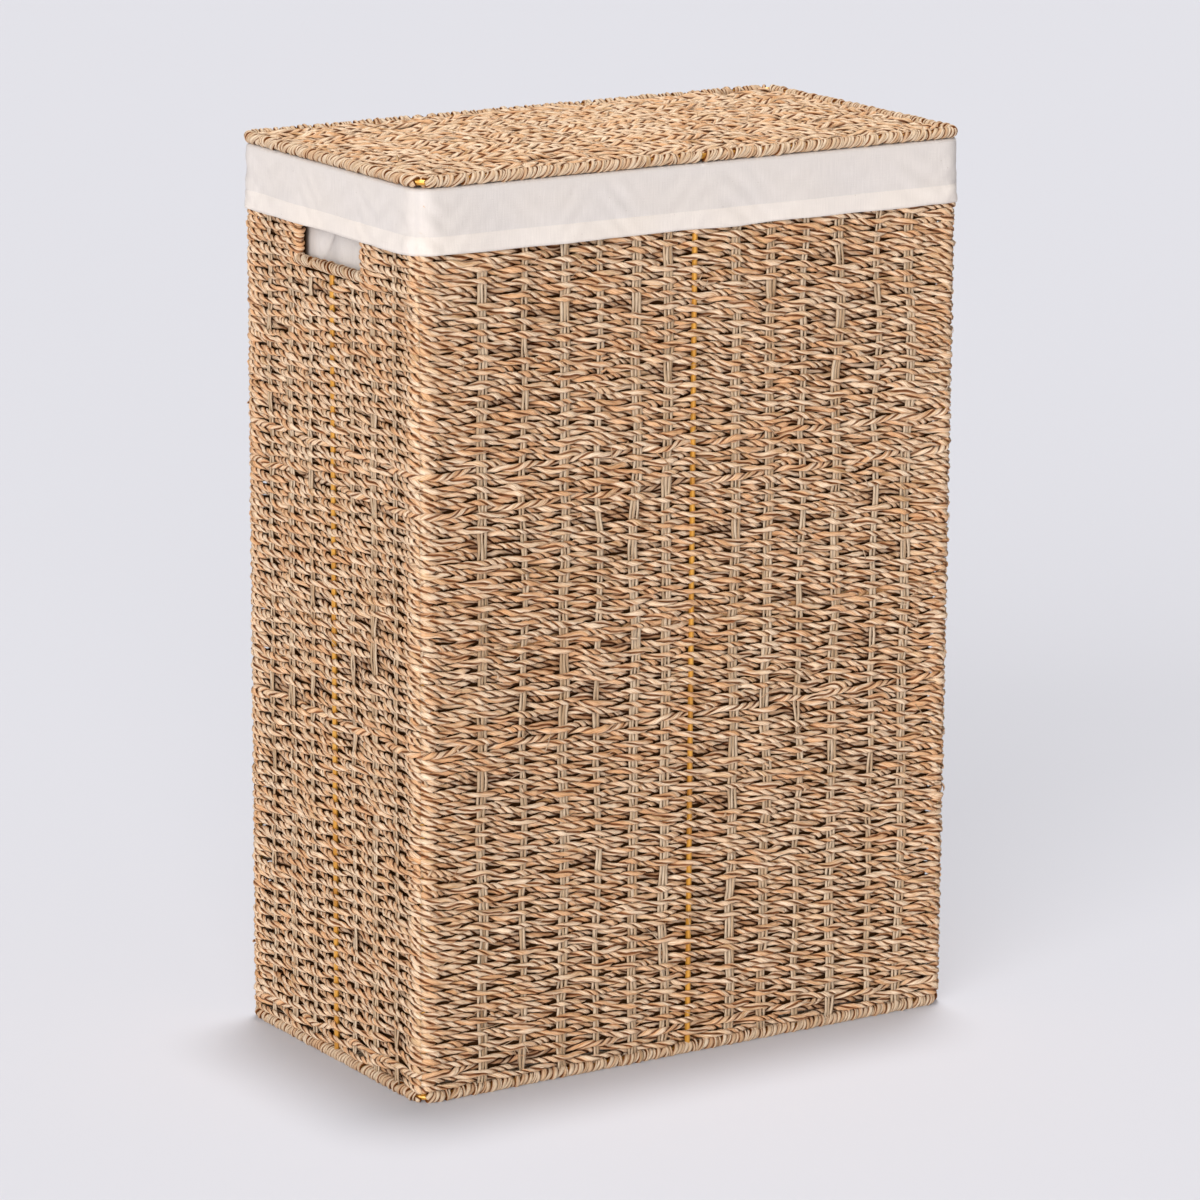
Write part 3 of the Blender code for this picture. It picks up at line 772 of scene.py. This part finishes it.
def loose_end(pile, start, bend, end, wide, thick, face, seed):
    """A thin curl of straw, or the cut end of a cord, from inside the weave out to its tip."""
    t = np.linspace(0, 1, 7)[:, None]
    line = (1 - t) ** 2 * start + 2 * t * (1 - t) * bend + t**2 * end
    taper = np.clip(1.15 - t[:, 0] ** 2, 0.3, 1)
    strand(pile, line, np.broadcast_to(face, line.shape) * 1.0, wide * taper, thick * taper, seed, sides=4)


for k in range(760):
    s, z = rng.uniform(0, wall.length), rng.uniform(0.015, CUFF_LOW - 0.004)
    if rng.random() < 0.15:
        s = np.mod(wall.starts[rng.integers(4)] + rng.normal(0, 0.006), wall.length)
    side = int(np.clip(np.searchsorted(wall.starts, s, "right") - 1, 0, 3))
    if side % 2 and z > BAR_Z - 0.012 and abs(s - wall.place(side, 0)) < LEG_Y + 0.01:
        continue
    stub = rng.random() < 0.20
    reach = rng.uniform(0.003, 0.006) if stub else rng.uniform(0.006, 0.020)
    heading = rng.normal(0, 0.55) + (np.pi if rng.random() < 0.5 else 0)
    ds, dz = reach * np.cos(heading), reach * np.sin(heading)
    proud = rng.uniform(0.0052, 0.0066) if stub else rng.uniform(0.0046, 0.0072)
    rises = [(0, 0.0030), (0.5, proud + 0.0006), (1, proud - rng.uniform(0, 0.0016))]
    points = [
        np.append(wall.at(np.array([s + ds * f]), o)[0], z + dz * f + 0.0012 * f * (1 - f)) for f, o in rises
    ]
    face = np.append(wall.at(np.array([s]), 1.0)[0] - wall.at(np.array([s]))[0], 0)
    wide, thick = (rng.uniform(0.0009, 0.0015), 0.0008) if stub else (rng.uniform(0.00022, 0.0005), 0.00016)
    loose_end(frays, *points, wide, thick, face, 900 + k * 1.7)
for k in range(150):
    x, y = rng.uniform(-LID_X + 0.01, LID_X - 0.01), rng.uniform(-LID_Y + 0.008, LID_Y - 0.008)
    reach, heading = rng.uniform(0.006, 0.016), rng.normal(0, 0.4) + (np.pi if rng.random() < 0.5 else 0)
    dx, dy = reach * np.cos(heading), reach * np.sin(heading)
    z = lid_height(x, y)
    proud = rng.uniform(0.0042, 0.0062)
    rises = ((0, 0.002), (0.5, proud), (1, proud - 0.0014))
    points = [np.array([x + dx * f, y + dy * f, z + o]) for f, o in rises]
    stub = k % 3 == 0
    wide, thick = (rng.uniform(0.0008, 0.0014), 0.0007) if stub else (rng.uniform(0.0002, 0.00045), 0.00015)
    loose_end(lid_frays, *points, wide, thick, np.array([0, 0, 1.0]), 1900 + k * 1.7)


# ---------------------------------------------------------------- the cotton bag

CLOTH, HEM = 0.0008, 0.0150
BAG_IN, CUFF_OUT, BAG_BEND = -0.0070, 0.0043, 0.006
FINE_FROM = 0.540  # above this height, the bag's rows lie closer together
BAG_FLOOR = FLOOR_LINER + CLOTH / 2
CUFF_TOP = CUFF_HIGH - CLOTH / 2 - 0.0001

counts = [round(length / 0.0034) for length in wall.lengths]
side_of = np.repeat(np.arange(4), counts)
part_of = np.concatenate([np.arange(n) / n for n in counts])
around = wall.starts[side_of] + part_of * wall.lengths[side_of]
from_bend = np.minimum(part_of, 1 - part_of) * wall.lengths[side_of]
waves, folds = Wobble(wall.length, 0.11, 0.35), Wobble(wall.length, 0.17, 0.06)
ripple = Wobble(wall.length, 0.05, 0.5)


def cloth_row(out, z, lift=0.0):
    """A level row of the cloth's points, so far outside the ring's line."""
    line = Outline(RING_X + out, RING_Y + out, max(BAG_BEND, BEND + out))
    flat = line.at(line.starts[side_of] + part_of * line.lengths[side_of], lift)
    return np.column_stack([flat, np.broadcast_to(z, len(flat))])


def cuff_lift(z):
    """How far the cuff stands off the weave. It hangs freer lower down, and creases softly at the bends."""
    drop = (CUFF_HIGH - z) / (CUFF_HIGH - CUFF_LOW)
    crease = np.exp(-((from_bend / 0.024) ** 2)) * np.sin(z * 360 + 2 * ripple(around))
    slack = 0.00045 * np.sin(z * 330 + 3 * waves(around, z * 12)) * np.clip(ripple(around, z * 18), -1, 1)
    return drop * (0.00035 + 0.00040 * waves(around, z * 30) + 0.0011 * crease) + slack * min(1, 4 * drop)


def wall_sag(z):
    """How far in the bag's wall hangs, with its folds, and the slanting creases behind the handle holes."""
    held = np.clip((CUFF_HIGH - 0.004 - z) / 0.03, 0, 1) * np.clip((z - FLOOR_LINER) / 0.02, 0, 1)
    sag = held * np.clip(0.0011 + 0.0011 * folds(around, z * 20) + 0.0005 * ripple(around, z * 25), 0, 0.0045)
    for side, lean in ((1, 1), (3, -1)):
        y = around - wall.place(side, 0)
        for start, steep in ((0.010, 0.75), (-0.026, 0.15)):
            off = y - lean * (start + (BAR_Z + 0.03 - z) * steep)
            sag = sag + 0.0032 * np.exp(-((off / 0.0048) ** 2)) * np.clip(1 - abs(z - 0.585) / 0.05, 0, 1)
    return -sag


def cloth_piece(name, rows, place, thick, replaces=(), kept=None, material=COTTON):
    """A sheet from level rows of points that run all the way round. kept marks the squares that it has."""
    points = np.stack(rows)
    index = np.arange(points[..., 0].size).reshape(points.shape[:2])
    after = np.roll(index, -1, 1)
    quads = np.stack([index[:-1], after[:-1], after[1:], index[1:]], -1)
    quads = quads.reshape(-1, 4) if kept is None else quads[kept]
    down = np.broadcast_to(np.asarray(place)[:, None], index.shape)
    # How much painted shade the bag's back gets: full behind the weave, none by the handle holes
    shade_behind = np.ones(index.shape)
    for side in (1, 3):
        aside = np.maximum(abs(around - wall.place(side, 0)) - LEG_Y, 0)
        beyond = aside + np.maximum(BAR_Z - points[..., 2], 0)
        shade_behind = np.minimum(shade_behind, beyond / 0.006)
    cloth = np.stack([np.broadcast_to(around, index.shape), down, shade_behind], -1)
    made = mesh_piece(
        name, points.reshape(-1, 3), quads.ravel(), np.full(len(quads), 4, np.int32),
        material, "basket", "liner_cotton", replaces, cloth=cloth.reshape(-1, 3),
    )
    solid = made.modifiers.new("Thickness", "SOLIDIFY")
    solid.thickness, solid.offset = thick, 0.0
    if material is COTTON:
        # The side away from the laundry has a material of its own, with painted shade where it lies close
        # behind the weave
        made.data.materials.clear()
        made.data.materials.append(SHADED_BACK)
        made.data.materials.append(COTTON)
        solid.material_offset = solid.material_offset_rim = 1
    return made


def bag():
    """One cloth: up the walls inside, over the rim and down the outside, with a slit for each hinge loop."""
    rows, out_of, z_of = [], [], []

    def add(out, z, lift=0.0):
        rows.append(cloth_row(out, z, lift))
        out_of.append(out)
        z_of.append(z)

    fold = 0.0024
    turn = np.linspace(0, np.pi / 2, 6)[1:]
    low = np.linspace(BAG_FLOOR, FINE_FROM, 40)[:-1]
    for z in (*low, *np.linspace(FINE_FROM, CUFF_TOP - fold, 42)):
        add(BAG_IN, z, wall_sag(z))
    for a in turn:
        add(BAG_IN + fold * (1 - np.cos(a)), CUFF_TOP - fold * (1 - np.sin(a)))
    for out in np.linspace(BAG_IN + fold, CUFF_OUT - fold, 6)[1:]:
        add(out, CUFF_TOP)
    for a in turn:
        add(CUFF_OUT - fold * (1 - np.sin(a)), CUFF_TOP - fold * (1 - np.cos(a)))
    for z in np.linspace(CUFF_TOP - fold, CUFF_LOW, 20)[1:]:
        add(CUFF_OUT, z, cuff_lift(z))
    rows[-1][:, 2] += 0.0004 * waves(around, 5)
    out_of, z_of = np.array(out_of), np.array(z_of)
    # Each row shares out its own length, so a column's place across changes from row to row
    across = np.stack(rows)[:-1, :, 0]
    across = (across + np.roll(across, -1, 1)) / 2
    slit = (abs(abs(across) - LOOP_X) < SLIT) & (side_of == 2)
    rim = (out_of > -0.0045) & (z_of > TOP_Z - 0.0005)
    run = np.hypot(np.diff(out_of), np.diff(z_of))
    place = np.concatenate([[0], np.cumsum(run)])
    cuffs = [f"cuff_{side}" for side in SIDES]
    walls = [f"liner_{side}" for side in SIDES]
    made = cloth_piece("cotton_bag", rows, place, CLOTH, (*walls, *cuffs), ~(rim[:-1, None] & slit))
    return made, 2 * (2 * RING_X + 2 * RING_Y), place[-1]


def hem():
    """The doubled lower edge of the cuff, a little proud of it."""
    heights = np.linspace(CUFF_LOW + HEM, CUFF_LOW - 0.0002, 8)
    proud = CUFF_OUT + CLOTH / 2 + 0.0001
    edge = np.interp(heights, [CUFF_LOW + HEM - 0.0045, CUFF_LOW + HEM], [0, 0.0009])
    rows = [cloth_row(proud - e, z, cuff_lift(z)) for z, e in zip(heights, edge)]
    for row in rows[3:]:
        row[:, 2] += 0.0004 * waves(around, 5) * (CUFF_LOW + HEM - row[:, 2]) / HEM
    return cloth_piece("cuff_hem", rows, 0.7 - heights, 0.0007, material=HEMMED)


def bag_floor():
    """The bag's floor, as rings of points from its seam inward."""
    inmost = RING_Y + BAG_IN - 0.0003
    rows, insets = [], np.concatenate([np.linspace(0, 0.02, 6), np.linspace(0.02, inmost, 20)[1:]])
    for inset in insets:
        out = BAG_IN - inset
        line = Outline(RING_X + out, RING_Y + out, max(BAG_BEND - inset, 0.0002))
        flat = line.at(line.starts[side_of] + part_of * line.lengths[side_of])
        x, y = flat.T
        rise = np.clip(0.0008 + 0.0006 * np.cos(x * 61 + 2 * np.sin(y * 47)) * np.cos(y * 83), 0, 1)
        rows.append(np.column_stack([flat, BAG_FLOOR + rise * min(1, inset / 0.02)]))
    return cloth_piece("bag_floor", rows, insets, CLOTH, ("liner_bottom",))


# ---------------------------------------------------------------- the pieces

for (side, band), pile in weft.items():
    replaced = (f"weave_{side}",) if band == 0 else ()
    pile.object(f"weft_{side}_{band + 1}", CORD, "basket", "seagrass_weave", replaced)
for side in SIDES:
    stakes[side].object(f"stakes_{side}", STAKE, "basket", "seagrass_weave")
    back = ("back_right", "back_middle", "back_left") if side == "back" else (side,)
    base_winding[side].object(
        f"base_winding_{side}", BOUND, "basket", "seagrass_binding", (f"base_binding_{side}",)
    )
    mid_winding[side].object(
        f"mid_winding_{side}", BAND, "basket", "seagrass_binding", (f"mid_binding_{side}",)
    )
    top_winding[side].object(
        f"rim_winding_{side}", BOUND, "basket", "seagrass_binding", [f"top_binding_{part}" for part in back]
    )
    lid_winding[side].object(
        f"lid_winding_{side}", BOUND, "lid", "seagrass_binding", [f"lid_binding_{part}" for part in back]
    )
for hand in ("left", "right"):
    handle_winding[hand].object(
        f"handle_winding_{hand}", BOUND, "basket", "seagrass_binding", (f"handle_wrap_{hand}",)
    )
    loops[hand].object(f"hinge_cord_{hand}", BOUND, "basket", "seagrass_binding", (f"hinge_loop_{hand}",))
for part, pile in enumerate(lid_rows):
    pile.object(f"lid_rows_{part + 1}", CORD, "lid", "seagrass_weave", ("lid_weave",) if part == 0 else ())
for part, pile in enumerate(base_rows):
    replaced = ("weave_base",) if part == 0 else ()
    pile.object(f"base_rows_{part + 1}", CORD, "basket", "seagrass_weave", replaced)
lid_sticks.object("lid_stakes", STAKE, "lid", "seagrass_weave")
base_sticks.object("base_stakes", STAKE, "basket", "seagrass_weave")
frays.object("loose_ends", CORD, "basket", "seagrass_weave")
lid_frays.object("lid_loose_ends", CORD, "lid", "seagrass_weave")

cotton_bag, flat_round, flat_down = bag()
cuff_hem = hem()
bag_floor()


# ---------------------------------------------------------------- floor, light and camera

PALE = (0.776, 0.768, 0.807)


def stage():
    """A pale floor. A little of its light is its own, so that the shadow on it stays faint."""
    mesh = bpy.data.meshes.new("floor")
    mesh.from_pydata([(-9, -9, 0), (9, -9, 0), (9, 9, 0), (-9, 9, 0)], [], [(0, 1, 2, 3)])
    floor = bpy.data.objects.new("floor", mesh)
    bpy.context.scene.collection.objects.link(floor)
    look = Look("pale_floor", Roughness=1.0, Specular_IOR_Level=0.0)
    own = [FLOOR_SHARE * v * k for v, k in zip(PALE, (0.995, 1.0, 1.012))]
    look.finish(Base_Color=(*own, 1), Emission_Color=(*PALE, 1), Emission_Strength=FLOOR_GLOW)
    mesh.materials.append(look.material)


def light():
    """An even pale sky, a soft sun from above and a little behind, and a broad low one from the front
    left."""
    world = bpy.data.worlds.new("sky")
    bpy.context.scene.world = world
    world.use_nodes = True
    world.node_tree.nodes["Background"].inputs["Color"].default_value = (1, 1, 1, 1)
    world.node_tree.nodes["Background"].inputs["Strength"].default_value = SKY
    for name, direction, share, width in SUNS:
        sun = bpy.data.objects.new(name, bpy.data.lights.new(name, "SUN"))
        sun.data.energy, sun.data.angle = share * math.pi, math.radians(width)
        sun.rotation_euler = Vector(direction).to_track_quat("Z", "Y").to_euler()
        bpy.context.scene.collection.objects.link(sun)


def camera():
    """At the front left, a little above the rim, with a long lens."""
    yaw, pitch, roll = math.radians(32.547), math.radians(13.636), math.radians(0.308)
    look = Vector((math.sin(yaw) * math.cos(pitch), math.cos(yaw) * math.cos(pitch), -math.sin(pitch)))
    right = Vector((math.cos(yaw), -math.sin(yaw), 0))
    up = right.cross(look)
    target = right * -0.00054 + Vector((0, 0, 0.30670))
    made = bpy.data.objects.new("camera", bpy.data.cameras.new("camera"))
    made.data.lens, made.data.sensor_width = 165.30, 36
    turned = Matrix((right, up, -look)).transposed() @ Matrix.Rotation(roll, 3, "Z")
    made.matrix_world = Matrix.Translation(target - look * 3.9459) @ turned.to_4x4()
    bpy.context.scene.collection.objects.link(made)
    bpy.context.scene.camera = made


SKY = 0.21
SUNS = [("top", (0.075, 0.072, 1.0), 0.66, 9), ("front", (-0.347, -0.313, 0.07), 1.32, 60)]
FLOOR_SHARE, FLOOR_GLOW = 0.78, 0.116
stage()
light()
camera()
bpy.context.scene.view_settings.view_transform = "Standard"

bpy.context.view_layer.update()
